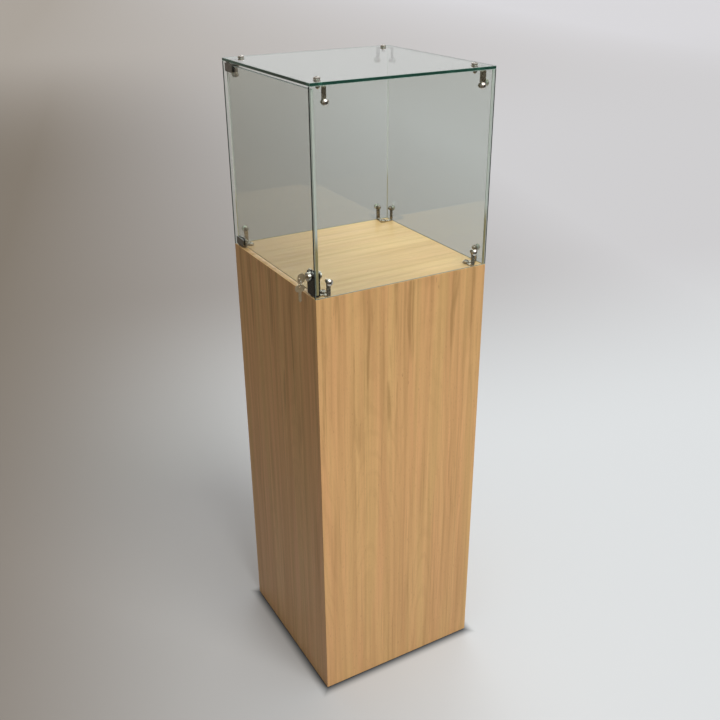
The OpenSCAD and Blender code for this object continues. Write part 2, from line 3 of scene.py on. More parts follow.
import bmesh
import bpy
from mathutils import Matrix, Vector


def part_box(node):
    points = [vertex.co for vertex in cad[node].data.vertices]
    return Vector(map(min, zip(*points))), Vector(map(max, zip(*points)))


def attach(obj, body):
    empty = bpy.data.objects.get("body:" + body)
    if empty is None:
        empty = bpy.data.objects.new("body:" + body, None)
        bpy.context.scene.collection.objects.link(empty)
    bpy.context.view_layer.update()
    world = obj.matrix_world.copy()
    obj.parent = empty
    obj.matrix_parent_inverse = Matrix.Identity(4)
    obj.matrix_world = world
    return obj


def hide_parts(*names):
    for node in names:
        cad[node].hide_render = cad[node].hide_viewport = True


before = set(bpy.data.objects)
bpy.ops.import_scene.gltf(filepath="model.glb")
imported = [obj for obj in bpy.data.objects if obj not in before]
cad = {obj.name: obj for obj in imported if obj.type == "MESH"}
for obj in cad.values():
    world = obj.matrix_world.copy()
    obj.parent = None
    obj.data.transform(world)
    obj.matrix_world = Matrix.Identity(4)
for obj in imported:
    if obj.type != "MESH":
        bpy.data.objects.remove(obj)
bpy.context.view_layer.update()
scene = bpy.context.scene
MM = 0.001

# ---------------------------------------------------------------- Camera
# The viewer stands in front and to the left of the case, with the eye above its
# top pane, and looks down. The lens and the angles come from the case's corners.
CAMERA_AIM = Vector((0.009, 0.0006, 0.739))
CAMERA_DISTANCE = 2.061
CAMERA_AZIMUTH = math.radians(-29.46)
CAMERA_ELEVATION = math.radians(25.87)
CAMERA_ROLL = math.radians(-0.442)
CAMERA_LENS = 44.57
SENSOR_W = 36.0
CLIP_END = 200.0

away = Vector((
    math.sin(CAMERA_AZIMUTH) * math.cos(CAMERA_ELEVATION),
    -math.cos(CAMERA_AZIMUTH) * math.cos(CAMERA_ELEVATION),
    math.sin(CAMERA_ELEVATION),
))
camera_data = bpy.data.cameras.new("camera")
camera_data.sensor_fit = "HORIZONTAL"
camera_data.sensor_width = SENSOR_W
camera_data.lens = CAMERA_LENS
camera_data.clip_end = CLIP_END
camera = bpy.data.objects.new("camera", camera_data)
level = away.to_track_quat("Z", "Y").to_matrix().to_4x4()
camera.matrix_world = (
    Matrix.Translation(CAMERA_AIM + CAMERA_DISTANCE * away)
    @ level
    @ Matrix.Rotation(CAMERA_ROLL, 4, "Z")
)
scene.collection.objects.link(camera)
scene.camera = camera
scene.view_settings.view_transform = "Standard"

# ---------------------------------------------------------------- Floor
# A wide matt floor of pale grey paint, warmer and darker to the left as painted shade,
# lighter near the right as a painted pool of light, and darker where the viewer stands.
# A painted contact shadow lies under the plinth. It throws back less light than it shows.
FLOOR_R = 60.0
FLOOR_SIDES = 96
FLOOR_TURN = math.radians(-15.0)
# The floor's near, middle and far tones: the left one, the right one, the places
# where the first ends and the second begins, and whether they blend softly. The dark
# left tones are painted shade, and the bright near right one a painted pool of light.
FLOOR_TONES = (
    ((0.205, 0.178, 0.150, 1.0), (0.628, 0.655, 0.672, 1.0), -1.24, 0.46, True),
    ((0.185, 0.160, 0.130, 1.0), (0.535, 0.535, 0.550, 1.0), -1.20, 2.20, False),
    ((0.335, 0.305, 0.270, 1.0), (0.590, 0.590, 0.615, 1.0), -2.00, 8.00, False),
)
NEAR_TO_MIDDLE = (0.6, 2.6)
MIDDLE_TO_FAR = (5.0, 13.0)
FLOOR_DARK = (0.10, 0.08, 0.06, 1.0)
DARK_TO_NEAR = (-2.4, -0.6)
# Painted contact shadow: the floor is darkened under the plinth and just round its edge
CONTACT_SHADOW_EDGE = (0.192, 0.224)
CONTACT_SHADOW_DEPTH = 0.12
FLOOR_THROW = 0.46


def new_material(name):
    """A node material: its tree and its Principled shader."""
    material = bpy.data.materials.new(name)
    material.use_nodes = True
    tree = material.node_tree
    return material, tree, tree.nodes["Principled BSDF"]


def set_inputs(node, **values):
    """Sets a node's sockets by name, with _ for each space."""
    for name, value in values.items():
        node.inputs[name.replace("_", " ")].default_value = value


def feed(tree, given, socket):
    """Links an output to a socket, or sets the socket to a value."""
    if isinstance(given, bpy.types.NodeSocket):
        tree.links.new(given, socket)
    else:
        socket.default_value = given


def math_of(tree, kind, *given):
    """A math node of values or sockets."""
    node = tree.nodes.new("ShaderNodeMath")
    node.operation = kind
    for item, socket in zip(given, node.inputs):
        feed(tree, item, socket)
    return node.outputs[0]


def to_range(tree, value, low, high, new_low, new_high, smooth=False):
    """A value moved from one range to another, and kept in it."""
    node = tree.nodes.new("ShaderNodeMapRange")
    if smooth:
        node.interpolation_type = "SMOOTHSTEP"
    set_inputs(node, From_Min=low, From_Max=high, To_Min=new_low, To_Max=new_high)
    tree.links.new(value, node.inputs["Value"])
    return node.outputs["Result"]


# A Mix node's sockets for the share and for two colours
MIX_INPUTS = (0, 6, 7)
MIX_OUTPUT = 2


def blend_colours(tree, share, first, second, kind="MIX"):
    """Two colours mixed by a share. Each may be a value or a socket."""
    node = tree.nodes.new("ShaderNodeMix")
    node.data_type = "RGBA"
    node.blend_type = kind
    share_in, first_in, second_in = (node.inputs[i] for i in MIX_INPUTS)
    for given, socket in ((share, share_in), (first, first_in), (second, second_in)):
        feed(tree, given, socket)
    return node.outputs[MIX_OUTPUT]


def split(tree, vector):
    """The three parts of a vector."""
    node = tree.nodes.new("ShaderNodeSeparateXYZ")
    tree.links.new(vector, node.inputs[0])
    return node.outputs


floor_shape = bmesh.new()
bmesh.ops.create_circle(floor_shape, cap_ends=True, segments=FLOOR_SIDES, radius=FLOOR_R)
floor_mesh = bpy.data.meshes.new("floor")
floor_shape.to_mesh(floor_mesh)
floor_shape.free()
floor = bpy.data.objects.new("floor", floor_mesh)
scene.collection.objects.link(floor)
floor_paint, floor_tree, floor_shader = new_material("floor_paint")
turned_floor = floor_tree.nodes.new("ShaderNodeMapping")
turned_floor.inputs["Rotation"].default_value = (0.0, 0.0, -FLOOR_TURN)
floor_place = floor_tree.nodes.new("ShaderNodeTexCoord").outputs["Object"]
floor_tree.links.new(floor_place, turned_floor.inputs["Vector"])
rightwards, backwards, _ = split(floor_tree, turned_floor.outputs[0])
near, middle, far = (
    blend_colours(
        floor_tree, to_range(floor_tree, rightwards, from_x, to_x, 0.0, 1.0, soft), left, right,
    )
    for left, right, from_x, to_x, soft in FLOOR_TONES
)
floor_colour = near
for tone, (from_y, to_y) in ((middle, NEAR_TO_MIDDLE), (far, MIDDLE_TO_FAR)):
    share = to_range(floor_tree, backwards, from_y, to_y, 0.0, 1.0, smooth=True)
    floor_colour = blend_colours(floor_tree, share, floor_colour, tone)
off_viewer = to_range(floor_tree, backwards, *DARK_TO_NEAR, 0.0, 1.0, smooth=True)
floor_colour = blend_colours(floor_tree, off_viewer, FLOOR_DARK, floor_colour)
floor_x, floor_y, _ = split(floor_tree, floor_place)
from_plinth = math_of(
    floor_tree, "MAXIMUM",
    math_of(floor_tree, "ABSOLUTE", floor_x), math_of(floor_tree, "ABSOLUTE", floor_y),
)
# Painted contact shadow under the plinth
painted_contact_shadow = to_range(floor_tree, from_plinth, *CONTACT_SHADOW_EDGE, CONTACT_SHADOW_DEPTH, 1.0, smooth=True)
floor_ray = floor_tree.nodes.new("ShaderNodeLightPath").outputs
throw = to_range(floor_tree, floor_ray["Is Diffuse Ray"], 0.0, 1.0, 1.0, FLOOR_THROW)
floor_colour = blend_colours(
    floor_tree, 1.0, floor_colour, math_of(floor_tree, "MULTIPLY", painted_contact_shadow, throw), "MULTIPLY",
)
floor_tree.links.new(floor_colour, floor_shader.inputs["Base Color"])
set_inputs(floor_shader, Roughness=0.9, Specular_IOR_Level=0.1)
floor_mesh.materials.append(floor_paint)

# ---------------------------------------------------------------- Light
# A broad soft lamp in front of the case, high up and a little to the right, and a weak
# one behind it. The world round it glows from above and from behind, and is dim elsewhere.
ROOM_DIM = (0.268, 0.229, 0.190, 1.0)
# Each glow's colour, the way to it, and how near to that way it begins and is full
ROOM_GLOWS = (
    ((0.955, 0.96, 0.975, 1.0), (0.16, -0.46, 0.873), 0.34, 0.94),
    ((0.68, 0.68, 0.68, 1.0), (0.484, 0.866, 0.10), 0.30, 0.90),
)


def broad_light(name, azimuth, elevation, strength, spread, colour):
    """A far, even lamp. Azimuth 0 is in front of the case, and 90 to its right."""
    lamp_data = bpy.data.lights.new(name, "SUN")
    lamp_data.energy = strength
    lamp_data.angle = math.radians(spread)
    lamp_data.color = colour
    lamp = bpy.data.objects.new(name, lamp_data)
    turn, rise = math.radians(azimuth), math.radians(elevation)
    towards = Vector((
        math.sin(turn) * math.cos(rise), -math.cos(turn) * math.cos(rise), math.sin(rise),
    ))
    lamp.matrix_world = towards.to_track_quat("Z", "Y").to_matrix().to_4x4()
    scene.collection.objects.link(lamp)


broad_light(
    "key_light", azimuth=10.0, elevation=44.0, strength=1.86, spread=36.0,
    colour=(1.0, 0.99, 0.97),
)
broad_light(
    "back_light", azimuth=150.0, elevation=32.0, strength=0.50, spread=34.0,
    colour=(0.97, 0.98, 1.0),
)

room = bpy.data.worlds.new("room")
scene.world = room
room.use_nodes = True
room_tree = room.node_tree
room_way = room_tree.nodes.new("ShaderNodeTexCoord").outputs["Generated"]
room_colour = ROOM_DIM
for colour, towards, low, high in ROOM_GLOWS:
    nearness = room_tree.nodes.new("ShaderNodeVectorMath")
    nearness.operation = "DOT_PRODUCT"
    nearness.inputs[1].default_value = towards
    room_tree.links.new(room_way, nearness.inputs[0])
    share = to_range(room_tree, nearness.outputs["Value"], low, high, 0.0, 1.0, smooth=True)
    room_colour = blend_colours(room_tree, share, room_colour, colour)
room_tree.links.new(room_colour, room_tree.nodes["Background"].inputs["Color"])

# ---------------------------------------------------------------- Plinth
# Four side boards and a deck of 18 mm board, faced with leaves of crown-cut veneer
# side by side. All joints are mitred, glued, and eased with fine paper.
PLINTH_EASE = 0.8 * MM
VENEER_WRAP = 0.3
LEAF_W = 150 * MM
LEAF_CENTRE = -280 * MM
CROWN_SQUEEZE = 0.12
CROWN_PITCH = 12 * MM
CROWN_DRIFT = 14 * MM
# Painted shade: the sides darken towards the floor, and the deck towards its left
FOOT_H = 0.60
FOOT_SHADE = 0.83
STAINED_FROM = 0.45
STAINED_ABOVE = 0.80
LOW_STAIN = 0.12
DECK_DARK_TO = -0.13
DECK_PALE_FROM = 0.09
DECK_SHADES = (0.72, 1.05)
SHARP_ANGLE = 35


def stretched(tree, across, along, fine, long):
    """A vector for a texture with so many repeats a metre across and along the grain."""
    node = tree.nodes.new("ShaderNodeCombineXYZ")
    tree.links.new(math_of(tree, "MULTIPLY", across, fine), node.inputs[0])
    tree.links.new(math_of(tree, "MULTIPLY", along, long), node.inputs[1])
    return node.outputs[0]


def noise(tree, vector, scale=1.0, detail=2.0, distortion=0.0):
    """A noise texture's value."""
    node = tree.nodes.new("ShaderNodeTexNoise")
    set_inputs(node, Scale=scale, Detail=detail, Distortion=distortion)
    tree.links.new(vector, node.inputs["Vector"])
    return node.outputs["Fac"]


def bump(tree, height, strength, distance):
    """A normal raised by a height."""
    node = tree.nodes.new("ShaderNodeBump")
    set_inputs(node, Strength=strength, Distance=distance)
    tree.links.new(height, node.inputs["Height"])
    return node.outputs["Normal"]


def veneer(name, upright, stain_share, yellow, pink, streak, fleck):
    """Lacquered crown-cut veneer. Its grain is upright, with most of the mineral stain
    near the top and a painted shade that darkens it towards the floor, or runs from left
    to right, stained all along, with a painted shade that darkens it to the left."""
    material, tree, shader = new_material(name)
    x, y, z = split(tree, tree.nodes.new("ShaderNodeTexCoord").outputs["Object"])

    def grain(fine, long, detail=2.0, distortion=0.0):
        """Noise with so many repeats a metre across and along the grain."""
        return noise(tree, stretched(tree, across, along, fine, long), 1.0, detail, distortion)

    def shown(value, low, high, most=1.0):
        """The share of a mark that shows: none up to the low value, most at the high."""
        return to_range(tree, value, low, high, 0.0, most)

    def times(first, second):
        """Two values or sockets, multiplied."""
        return math_of(tree, "MULTIPLY", first, second)

    if upright:
        across, along = math_of(tree, "ADD", x, y), z
        where_stain = to_range(
            tree, along, STAINED_FROM, STAINED_ABOVE, LOW_STAIN, stain_share, smooth=True,
        )
        painted_shade = to_range(tree, along, 0.0, FOOT_H, FOOT_SHADE, 1.0)
    else:
        across, along = y, x
        where_stain = stain_share
        painted_shade = to_range(tree, along, DECK_DARK_TO, DECK_PALE_FROM, *DECK_SHADES)

    # The growth rings of a crown cut: long narrow arches on each leaf
    from_centre = math_of(
        tree, "PINGPONG", math_of(tree, "SUBTRACT", across, LEAF_CENTRE), LEAF_W / 2,
    )
    squared = math_of(tree, "POWER", from_centre, 2.0)
    lengthwise = math_of(tree, "POWER", times(along, CROWN_SQUEEZE), 2.0)
    radius = math_of(tree, "SQRT", math_of(tree, "ADD", squared, lengthwise))
    drift = times(to_range(tree, grain(9.0, 2.2), 0.3, 0.7, -1.0, 1.0), CROWN_DRIFT)
    radius = math_of(tree, "ADD", radius, drift)
    crown = math_of(tree, "SINE", times(radius, 2 * math.pi / CROWN_PITCH))
    where_crown = shown(grain(16.0, 1.5), 0.42, 0.62, 0.14)

    # From broad drifts of tone to the pores and the fibre
    tone = grain(24.0, 1.3, 3.0, 0.4)
    band = grain(75.0, 1.6, 3.0, 0.4)
    stain = grain(58.0, 3.6, 3.0, 0.5)
    dash = grain(330.0, 46.0)
    thin = grain(300.0, 3.0)
    where_thin = to_range(tree, grain(12.0, 1.6), 0.42, 0.62, 0.12, 0.50)
    pores = grain(1050.0, 85.0, 1.0)
    fibre = grain(1900.0, 26.0)

    colour = blend_colours(tree, shown(tone, 0.38, 0.62), yellow, pink)
    for share, mark in (
        (shown(band, 0.40, 0.74, 0.50), streak),
        (times(shown(stain, 0.555, 0.70), where_stain), streak),
        (shown(dash, 0.70, 0.78, 0.60), fleck),
        (times(shown(crown, 0.2, 1.0), where_crown), streak),
        (times(shown(thin, 0.56, 0.70), where_thin), streak),
        (shown(pores, 0.66, 0.80, 0.55), fleck),
        (shown(fibre, 0.30, 0.70, 0.16), streak),
    ):
        colour = blend_colours(tree, share, colour, mark)
    # Painted shade, multiplied over the veneer's colour
    colour = blend_colours(tree, 1.0, colour, painted_shade, "MULTIPLY")
    tree.links.new(colour, shader.inputs["Base Color"])
    tree.links.new(to_range(tree, band, 0.3, 0.7, 0.34, 0.44), shader.inputs["Roughness"])
    set_inputs(shader, Specular_IOR_Level=0.25)
    relief = bump(tree, math_of(tree, "ADD", fibre, pores), 0.10, 0.3 * MM)
    tree.links.new(relief, shader.inputs["Normal"])
    return material


upright_veneer = veneer(
    "upright_veneer", upright=True, stain_share=0.66,
    yellow=(0.730, 0.452, 0.191, 1), pink=(0.725, 0.405, 0.181, 1),
    streak=(0.375, 0.218, 0.081, 1), fleck=(0.22, 0.11, 0.045, 1),
)
deck_veneer = veneer(
    "deck_veneer", upright=False, stain_share=0.42,
    yellow=(0.94, 0.632, 0.292, 1), pink=(0.93, 0.592, 0.286, 1),
    streak=(0.66, 0.405, 0.168, 1), fleck=(0.42, 0.25, 0.11, 1),
)
raw_board, raw_tree, raw_shader = new_material("raw_board")
raw_place = raw_tree.nodes.new("ShaderNodeTexCoord").outputs["Object"]
chips = noise(raw_tree, raw_place, 420.0, 4.0)
raw_tree.links.new(
    blend_colours(
        raw_tree, to_range(raw_tree, chips, 0.35, 0.70, 0.0, 1.0),
        (0.34, 0.24, 0.14, 1), (0.20, 0.13, 0.07, 1),
    ),
    raw_shader.inputs["Base Color"],
)
raw_tree.links.new(bump(raw_tree, chips, 0.3, 0.4 * MM), raw_shader.inputs["Normal"])
set_inputs(raw_shader, Roughness=0.85)


def add_piece(shape, name, body, materials, slot, *nodes, sharp_from=SHARP_ANGLE):
    """Makes a bmesh into a piece that rides on the body, in place of those CAD nodes."""
    mesh = bpy.data.meshes.new(name)
    shape.to_mesh(mesh)
    shape.free()
    mesh.polygons.foreach_set("use_smooth", [True] * len(mesh.polygons))
    mesh.set_sharp_from_angle(angle=math.radians(sharp_from))
    for material in materials:
        mesh.materials.append(material)
    piece = bpy.data.objects.new(name, mesh)
    scene.collection.objects.link(piece)
    even = piece.modifiers.new("even_normals", "WEIGHTED_NORMAL")
    even.keep_sharp = True
    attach(piece, body)
    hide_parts(*nodes)


def cut_off(shape, point, outwards):
    """Cuts a convex shape by a plane, drops the part outwards of it and closes the cut."""
    cut = bmesh.ops.bisect_plane(
        shape, geom=shape.verts[:] + shape.edges[:] + shape.faces[:],
        plane_co=point, plane_no=outwards, clear_outer=True,
    )
    rim = [e for e in cut["geom_cut"] if isinstance(e, bmesh.types.BMEdge)]
    bmesh.ops.contextual_create(shape, geom=rim)
    bmesh.ops.recalc_face_normals(shape, faces=shape.faces)


def bare_core(shape, outwards):
    """Gives the second material to the faces that no veneer covers. The veneer wraps
    the eased edges."""
    for face in shape.faces:
        face.material_index = int(face.normal.dot(outwards) < VENEER_WRAP)


front_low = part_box("plinth_front")[0]
deck_low, deck_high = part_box("display_deck")
board_t = deck_high.z - deck_low.z


def plinth_block():
    """The whole outside of the plinth, with every edge eased but those at the floor."""
    outside = bmesh.new()
    bmesh.ops.create_cube(outside, size=1.0)
    size = Vector((2 * deck_high.x, 2 * deck_high.y, deck_high.z - front_low.z))
    bmesh.ops.scale(outside, vec=size, verts=outside.verts)
    half_way = (deck_high.z + front_low.z) / 2
    bmesh.ops.translate(outside, vec=(0, 0, half_way), verts=outside.verts)
    at_floor = front_low.z + PLINTH_EASE
    edges = [e for e in outside.edges if max(v.co.z for v in e.verts) > at_floor]
    bmesh.ops.bevel(
        outside, geom=edges, offset=PLINTH_EASE, segments=3,
        affect="EDGES", profile=0.5, material=-1,
    )
    return outside


def outwards_at(turn):
    """The way out of a side of the case: 0 is the front, 1 the right, 2 the back."""
    return Matrix.Rotation(turn * math.pi / 2, 4, "Z") @ Vector((0, -1, 0))


for side, turn in (("front", 0), ("right", 1), ("back", 2), ("left", 3)):
    board = plinth_block()
    outwards = outwards_at(turn)
    sideways = outwards_at(turn + 1)
    corner = Vector((0, 0, deck_high.z)) + outwards * deck_high.y
    cut_off(board, outwards * (deck_high.y - board_t), -outwards)
    cut_off(board, corner, (Vector((0, 0, 1)) - outwards).normalized())
    for way in (-1, 1):
        cut_off(board, (0, 0, 0), (way * sideways - outwards).normalized())
    bare_core(board, outwards)
    add_piece(
        board, f"{side}_board", "case", [upright_veneer, raw_board], "veneer", f"plinth_{side}",
    )

deck = plinth_block()
cut_off(deck, (0, 0, deck_low.z), (0, 0, -1))
for turn in range(4):
    outwards = outwards_at(turn)
    corner = Vector((0, 0, deck_high.z)) + outwards * deck_high.y
    cut_off(deck, corner, (outwards - Vector((0, 0, 1))).normalized())
bare_core(deck, Vector((0, 0, 1)))
add_piece(deck, "deck_board", "case", [deck_veneer, raw_board], "deck_veneer", "display_deck")

# ---------------------------------------------------------------- Carcass
# The base board that stands on the floor, the softwood battens and cleats that
# stiffen the corners, and the zinc-plated screws that hold the base board.
RING_SLANT = 0.6

softwood, soft_tree, soft_shader = new_material("softwood")
soft_place = soft_tree.nodes.new("ShaderNodeTexCoord").outputs["Object"]
soft_x, soft_y, soft_z = split(soft_tree, soft_place)
slanted_y = math_of(soft_tree, "MULTIPLY", soft_y, RING_SLANT)
soft_across = math_of(soft_tree, "ADD", soft_x, slanted_y)
soft_rings = noise(soft_tree, stretched(soft_tree, soft_across, soft_z, 190.0, 2.5), 1.0, 3.0)
soft_tree.links.new(
    blend_colours(
        soft_tree, to_range(soft_tree, soft_rings, 0.40, 0.68, 0.0, 1.0),
        (0.68, 0.50, 0.28, 1), (0.50, 0.30, 0.13, 1),
    ),
    soft_shader.inputs["Base Color"],
)
set_inputs(soft_shader, Roughness=0.68)


def plating(name, bright, worn, gloss, smear, scuff=0.12):
    """A plated metal: its tone and gloss vary, and it has fine scratches all ways."""
    material, tree, shader = new_material(name)
    place = tree.nodes.new("ShaderNodeTexCoord").outputs["Object"]
    patches = noise(tree, place, 160.0, 3.0)
    scratches = noise(tree, place, 2600.0, 2.0, 1.5)
    tree.links.new(
        blend_colours(tree, to_range(tree, patches, 0.40, 0.72, 0.0, 1.0), bright, worn),
        shader.inputs["Base Color"],
    )
    roughness = to_range(tree, patches, 0.30, 0.70, gloss, smear)
    tree.links.new(roughness, shader.inputs["Roughness"])
    tree.links.new(bump(tree, scratches, scuff, 0.02 * MM), shader.inputs["Normal"])
    set_inputs(shader, Metallic=1.0)
    return material


zinc = plating(
    "zinc", (0.62, 0.62, 0.60, 1), (0.50, 0.51, 0.50, 1), gloss=0.26, smear=0.42,
)


def dress(node, material):
    """Gives a CAD node its finish."""
    slots = cad[node].material_slots
    if len(slots) == 0:
        cad[node].data.materials.append(material)
    for slot in slots:
        slot.link = "OBJECT"
        slot.material = material


dress("base_board", raw_board)
for node in ("corner_battens", "deck_cleats"):
    dress(node, softwood)
dress("base_screws", zinc)

# ---------------------------------------------------------------- Glass
# Panes and the door of 6 mm float glass, drilled at the corners. The iron in it turns
# the polished rims dark green. Some rims are ground, as all arrises and holes are. The
# door's glass is made darker as painted shade, and the lower rims carry a painted shade
# of the joint below them.
GLASS_GAP = 0.05 * MM
GLASS_IOR = 1.52
DECK_REFLECTION_TO = 1.09
PALE_FROM = 1.13


def glass(name, passed, **finish):
    """A surface of glass. Light on its way to or from another thing goes through it,
    and is tinted, so that the case is lit inside."""
    material, tree, shader = new_material(name)
    set_inputs(shader, **finish)
    ray = tree.nodes.new("ShaderNodeLightPath")
    clear = tree.nodes.new("ShaderNodeBsdfTransparent")
    clear.inputs["Color"].default_value = passed
    surface = shader.outputs[0]
    for kind in ("Is Diffuse Ray", "Is Shadow Ray"):
        pass_light = tree.nodes.new("ShaderNodeMixShader")
        tree.links.new(ray.outputs[kind], pass_light.inputs[0])
        tree.links.new(surface, pass_light.inputs[1])
        tree.links.new(clear.outputs[0], pass_light.inputs[2])
        surface = pass_light.outputs[0]
    tree.links.new(surface, tree.nodes["Material Output"].inputs["Surface"])
    return material, tree, shader


def tinted(tree, shader, scale, pale, deep):
    """Colours a shader with two close tones that drift along the piece."""
    place = tree.nodes.new("ShaderNodeTexCoord").outputs["Object"]
    share = to_range(tree, noise(tree, place, scale, 2.0), 0.35, 0.65, 0.0, 1.0)
    tree.links.new(blend_colours(tree, share, pale, deep), shader.inputs["Base Color"])


float_glass, _, _ = glass(
    "float_glass", (0.90, 0.93, 0.905, 1), Base_Color=(0.895, 0.925, 0.900, 1),
    Roughness=0.0, IOR=GLASS_IOR, Transmission_Weight=1.0,
)
# The door's glass is the same float glass made darker: painted shade
shaded_door_glass, _, _ = glass(
    "shaded_door_glass", (0.81, 0.835, 0.805, 1), Base_Color=(0.80, 0.825, 0.795, 1),
    Roughness=0.0, IOR=GLASS_IOR, Transmission_Weight=1.0,
)
polished_rim, rim_tree, rim_shader = glass(
    "polished_rim", (0.60, 0.75, 0.67, 1),
    Roughness=0.12, IOR=GLASS_IOR, Transmission_Weight=0.45,
)
tinted(rim_tree, rim_shader, 45.0, (0.020, 0.130, 0.088, 1), (0.012, 0.090, 0.062, 1))

# The ground rims of the door and the right pane, with a painted reflection of the deck's warm
# tone low down
pale_rim, pale_tree, pale_shader = glass(
    "pale_rim", (0.86, 0.91, 0.88, 1),
    Roughness=0.5, IOR=GLASS_IOR, Transmission_Weight=0.3,
)
_, _, pale_z = split(pale_tree, pale_tree.nodes.new("ShaderNodeTexCoord").outputs["Object"])
# Painted reflection of the deck: a warm tone low down, pale above
pale_colour = blend_colours(
    pale_tree, to_range(pale_tree, pale_z, DECK_REFLECTION_TO, PALE_FROM, 0.0, 1.0, smooth=True),
    (0.46, 0.36, 0.17, 1), (0.94, 0.955, 0.935, 1),
)
pale_tree.links.new(pale_colour, pale_shader.inputs["Base Color"])

deep_rim, deep_tree, deep_shader = glass(
    "deep_rim", (0.50, 0.65, 0.58, 1), Roughness=0.25, Specular_IOR_Level=0.15,
)
tinted(deep_tree, deep_shader, 45.0, (0.008, 0.020, 0.015, 1), (0.005, 0.013, 0.010, 1))
# Lower rims painted dark brown: painted shade of the joint they stand in
lower_rim_shade, lower_tree, lower_shader = glass(
    "lower_rim_shade", (0.50, 0.45, 0.35, 1), Roughness=0.6, Specular_IOR_Level=0.1,
)
tinted(lower_tree, lower_shader, 30.0, (0.15, 0.10, 0.05, 1), (0.11, 0.075, 0.04, 1))
ground_glass, ground_tree, ground_shader = glass(
    "ground_glass", (0.75, 0.86, 0.80, 1),
    Roughness=0.45, IOR=GLASS_IOR, Transmission_Weight=0.35,
)
tinted(ground_tree, ground_shader, 400.0, (0.42, 0.50, 0.46, 1), (0.30, 0.38, 0.34, 1))


def cad_copy(node):
    """A bmesh of a CAD node, with its loose triangles joined."""
    shape = bmesh.new()
    shape.from_mesh(cad[node].data)
    bmesh.ops.remove_doubles(shape, verts=shape.verts, dist=0.002 * MM)
    return shape


# A pane's finishes: its faces, its upper, upright and lower rims, and its arrises
FACE, HEAD, END, FOOT, ARRIS = range(5)
RIM_NEAR = 0.05 * MM
SQUARE_ON = 0.99


def pane(
    node, name, body, through, ends, clear=float_glass, head=polished_rim, foot_arris=0.0,
):
    """A pane of glass, with a hair's breadth of air round it. Through is the axis
    across it, and ends is the finish of its upright rims, or of all if it lies flat.
    Its arrises up to the height of the foot arris carry the lower rim's painted shade."""
    shape = cad_copy(node)
    low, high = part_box(node)
    for face in shape.faces:
        centre = face.calc_center_median()
        rims = [
            axis for axis in range(3)
            if axis != through and abs(face.normal[axis]) > SQUARE_ON
            and min(centre[axis] - low[axis], high[axis] - centre[axis]) < RIM_NEAR
        ]
        if abs(face.normal[through]) > SQUARE_ON:
            face.material_index = FACE
        elif not rims:
            face.material_index = FOOT if centre.z - low.z < foot_arris else ARRIS
        elif rims[0] < 2:
            face.material_index = END
        else:
            face.material_index = FOOT if face.normal.z < 0 else HEAD
    middle = (low + high) / 2
    size = high - low
    bmesh.ops.scale(
        shape, vec=[1 - 2 * GLASS_GAP / size[axis] for axis in range(3)],
        space=Matrix.Translation(-middle), verts=shape.verts,
    )
    finishes = [clear, head, ends, lower_rim_shade, ground_glass]
    add_piece(shape, name, body, finishes, "glass", node, sharp_from=20)


pane("glass_front", "front_pane", "case", through=1, ends=deep_rim)
pane("glass_back", "back_pane", "case", through=1, ends=deep_rim)
pane("glass_right", "right_pane", "case", through=0, ends=pale_rim)
pane("glass_top", "top_pane", "case", through=2, ends=polished_rim)
pane(
    "glass_door", "door_pane", "door", through=0, ends=pale_rim,
    clear=shaded_door_glass, head=deep_rim, foot_arris=1 * MM,
)

# ---------------------------------------------------------------- Corner brackets
# Eight brackets pressed from steel strip and nickel plated: a round pad with one or
# two bent arms. The two at the door's hinge have an ear for the pivot pin as well, and
# the one at the lock has an upturned keeper.
STRIP_EASE = 0.25 * MM
FLAT_ANGLE = math.radians(0.5)

nickel = plating(
    "nickel", (0.345, 0.31, 0.25, 1), (0.25, 0.22, 0.175, 1), gloss=0.20, smear=0.34,
)


def eased_copy(node, ease, name, body, material, slot):
    """A CAD node with its sharp edges rounded. It is a hair smaller, so that a face
    that lies on glass has air before it."""
    shape = cad_copy(node)
    bmesh.ops.recalc_face_normals(shape, faces=shape.faces)
    bmesh.ops.dissolve_limit(
        shape, angle_limit=FLAT_ANGLE, verts=shape.verts, edges=shape.edges,
    )
    sharp = [
        e for e in shape.edges
        if len(e.link_faces) == 2 and e.calc_face_angle() > math.radians(SHARP_ANGLE)
    ]
    bmesh.ops.bevel(
        shape, geom=sharp, offset=ease, segments=2, affect="EDGES", profile=0.5,
        clamp_overlap=True, material=-1,
    )
    shape.normal_update()
    moves = [(v, -GLASS_GAP * v.normal) for v in shape.verts]
    for v, move in moves:
        v.co += move
    add_piece(shape, name, body, [material], slot, node)


for level_name in ("deck", "top"):
    for corner_name in ("front_left", "front_right", "back_right", "back_left"):
        node = f"{level_name}_bracket_{corner_name}"
        eased_copy(node, STRIP_EASE, f"{node}_strip", "case", nickel, "nickel")

# ---------------------------------------------------------------- Screws, bushes and nuts
# Domed cross-head screws, turned and chromed. Four are driven into the deck; the
# others pass through a nylon bush in the glass and a bracket into a cap nut.
HEAD_D = 13.5 * MM
HEAD_H = 5 * MM
HEAD_RIM = 2 * MM
HEAD_EASE = 0.4 * MM
HEAD_CORNER = 0.3 * MM
PANE_SCREW_D = 5 * MM
PANE_SCREW_TIP_D = 4 * MM
WOOD_SCREW_D = 4.5 * MM
WOOD_SCREW_TIP_D = 1 * MM
RECESS_L = 8.2 * MM
RECESS_W = 2.1 * MM
RECESS_DEPTH = 2.4 * MM
RECESS_TAPER = 0.62
DOME_STEPS = 8
FIRST_TURN = 38
NEXT_TURN = 29
BUSH_EASE = 0.2 * MM
NUT_EASE = 0.35 * MM

chrome = plating(
    "chrome", (0.64, 0.615, 0.56, 1), (0.50, 0.475, 0.42, 1),
    gloss=0.07, smear=0.17, scuff=0.06,
)
